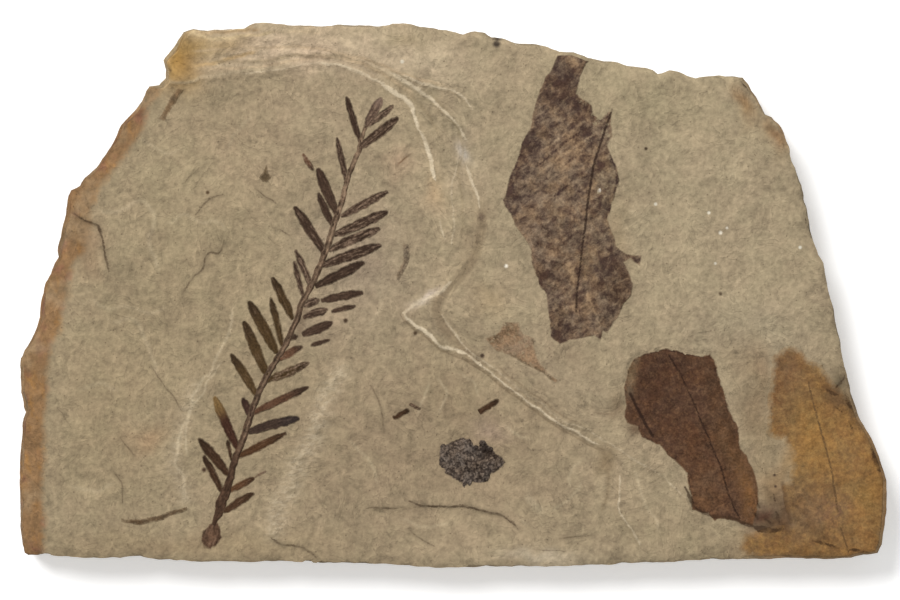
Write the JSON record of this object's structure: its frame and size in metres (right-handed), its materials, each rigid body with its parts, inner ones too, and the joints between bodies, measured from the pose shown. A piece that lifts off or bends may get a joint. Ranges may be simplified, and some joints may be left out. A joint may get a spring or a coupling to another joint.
{
  "type": "fossil plant plate",
  "caption": "Loose flat shale plate with stepped beds and a stained broken rim, bearing thin carbonised remains of a conifer shoot, broad leaves and a seed cluster.",
  "frame": {"origin": "centre of the plate's bounding box, on the plane that its back rests on", "axes": "+X along the plate's long bottom edge, to the right of the shoot; +Y up the plate towards the shoot's tip; +Z out of the fossil-bearing face"},
  "size_m": [0.2, 0.125, 0.0144],
  "materials": {
    "shale": "matte",
    "leaflet_carbon": "matte",
    "dark_carbon": "matte",
    "brown_carbon": "matte",
    "ochre_film": "matte",
    "black_carbon": "matte",
    "pink_carbon": "matte"
  },
  "bodies": {
    "root": {"shale_slab": "shale", "conifer_shoot": "leaflet_carbon", "leaflet_bit_1": "leaflet_carbon", "leaflet_bit_2": "leaflet_carbon", "leaflet_bit_3": "leaflet_carbon", "leaflet_bit_4": "leaflet_carbon", "leaflet_bit_5": "leaflet_carbon", "leaflet_bit_6": "leaflet_carbon", "needle_bit_1": "black_carbon", "needle_bit_2": "black_carbon", "needle_bit_3": "black_carbon", "dark_leaf": "dark_carbon", "brown_leaf": "brown_carbon", "ochre_leaf": "ochre_film", "seed_cluster": "black_carbon", "leaf_scrap": "pink_carbon", "bark_sliver": "brown_carbon", "bud_scrap": "black_carbon", "stem_scrap": "black_carbon", "rootlet": "leaflet_carbon"}
  },
  "joints": []
}
